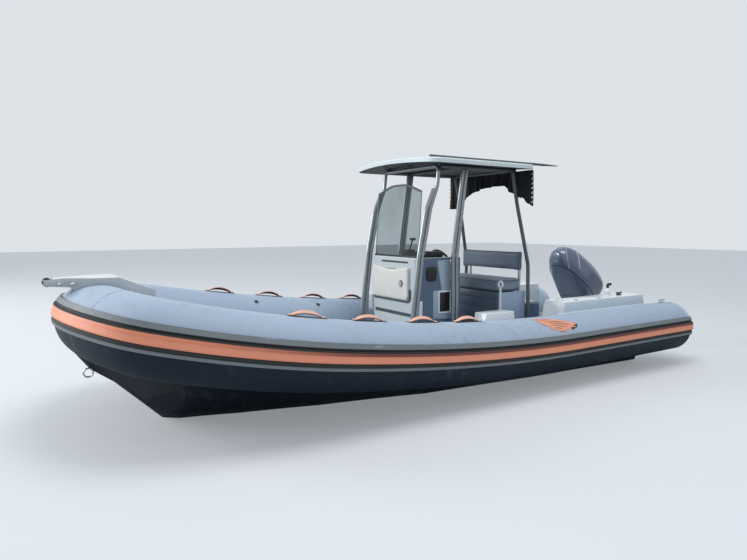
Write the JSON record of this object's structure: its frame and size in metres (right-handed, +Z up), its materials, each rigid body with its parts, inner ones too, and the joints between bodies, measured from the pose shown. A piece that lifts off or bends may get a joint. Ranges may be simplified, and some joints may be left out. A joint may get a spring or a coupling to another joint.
{
  "type": "rigid inflatable boat",
  "caption": "Open inflatable boat with a deep-V hull, rubbing strake, centre console under a hard top, helm seat and a tilting outboard engine.",
  "frame": {"origin": "on the centreline at the waterline, 3.15 m forward of the tubes' stern ends", "axes": "+X towards the bow, +Y to port, +Z up"},
  "size_m": [7.5004, 2.85, 2.9368],
  "materials": {
    "tube_fabric": "matt coated fabric",
    "cap_fabric": "matt coated fabric",
    "strake_dark": "satin",
    "strake_light": "satin",
    "hull_dark": "gloss",
    "deck_grey": "fine non-slip",
    "moulding_blue": "gloss",
    "moulding_white": "gloss",
    "moulding_dark": "gloss",
    "stainless": "polished",
    "tube_white": "satin",
    "tube_dark": "satin",
    "roof_skin": "satin",
    "canvas_black": "matt",
    "seat_skin": "matt",
    "screen_clear": "clear tinted",
    "black_plastic": "matt",
    "handle_orange": "satin",
    "engine_blue": "gloss",
    "engine_grey": "satin",
    "nylon": "satin"
  },
  "bodies": {
    "boat": {"tube_port": "tube_fabric", "tube_starboard": "tube_fabric", "tube_bow": "tube_fabric", "stern_caps": "cap_fabric", "strake_base": "strake_dark", "strake_band": "strake_light", "hull": "hull_dark", "sole": "deck_grey", "bow_nose": "moulding_white", "mooring_pins": "stainless", "towing_eye": "stainless", "console": "moulding_blue", "console_vent": "black_plastic", "side_hatch_frame": "moulding_white", "side_hatch_panel": "black_plastic", "console_rail": "stainless", "leg_brackets": "moulding_white", "instrument_panel": "black_plastic", "steering_boss": "black_plastic", "throttle": "black_plastic", "windscreen": "screen_clear", "front_leg_port": "tube_white", "front_leg_starboard": "tube_white", "middle_leg_port": "tube_white", "middle_leg_starboard": "tube_white", "aft_leg_port": "tube_dark", "aft_leg_starboard": "tube_dark", "top_rails": "tube_dark", "roof": "roof_skin", "roof_pole": "tube_dark", "sun_shade": "canvas_black", "seat_base": "moulding_blue", "seat_cushion": "seat_skin", "seat_backrest": "seat_skin", "seat_frame": "stainless", "ring_post": "moulding_white", "aft_box": "moulding_dark", "stern_box_port": "moulding_white", "stern_box_starboard": "moulding_white", "box_vent": "moulding_white", "box_cleat": "black_plastic", "side_steps": "moulding_white", "stern_cleats": "stainless", "handles_port": "handle_orange", "handles_starboard": "handle_orange", "clamp_bracket": "engine_grey"},
    "roller": {"anchor_roller": "nylon"},
    "lid": {"locker_lid": "deck_grey"},
    "door": {"console_door": "moulding_white", "door_latch": "stainless"},
    "wheel": {"steering_wheel": "black_plastic"},
    "tilt_bracket": {"swivel_bracket": "engine_grey"},
    "engine": {"midsection": "engine_grey", "gearcase": "engine_grey", "cowl": "engine_blue"},
    "propeller": {"propeller": "engine_grey"}
  },
  "joints": [
    {"name": "engine_tilt", "type": "hinge", "parent": "boat", "child": "tilt_bracket", "pos_m": [-2.69, 0, 0.517], "axis": [0, 1, 0], "range_deg": [-25, 40]},
    {"name": "engine_steer", "type": "hinge", "parent": "tilt_bracket", "child": "engine", "pos_m": [-2.79876, 0, 0.56771], "axis": [0.4226, 0, 0.9063], "range_deg": [-30, 30]},
    {"name": "propeller_spin", "type": "hinge", "parent": "engine", "child": "propeller", "pos_m": [-3.60625, 0, -0.17016], "axis": [0.9063, 0, -0.4226], "continuous": true},
    {"name": "wheel_turn", "type": "hinge", "parent": "boat", "child": "wheel", "pos_m": [-0.262, 0, 1.262], "axis": [-0.8829, 0, 0.4695], "range_deg": [-720, 720]},
    {"name": "console_door_hinge", "type": "hinge", "parent": "boat", "child": "door", "pos_m": [0.4295, -0.388, 1.08], "axis": [0, 0, -1], "range_deg": [0, 95]},
    {"name": "locker_lid_hinge", "type": "hinge", "parent": "boat", "child": "lid", "pos_m": [2.938, 0, 0.6473], "axis": [0, 1, 0], "range_deg": [0, 85]},
    {"name": "roller_spin", "type": "hinge", "parent": "boat", "child": "roller", "pos_m": [3.76417, 0, 1.24816], "axis": [0, 1, 0], "continuous": true}
  ],
  "couplings": [
    {"joint": "wheel_turn", "follows": "engine_steer", "ratio": 24}
  ]
}
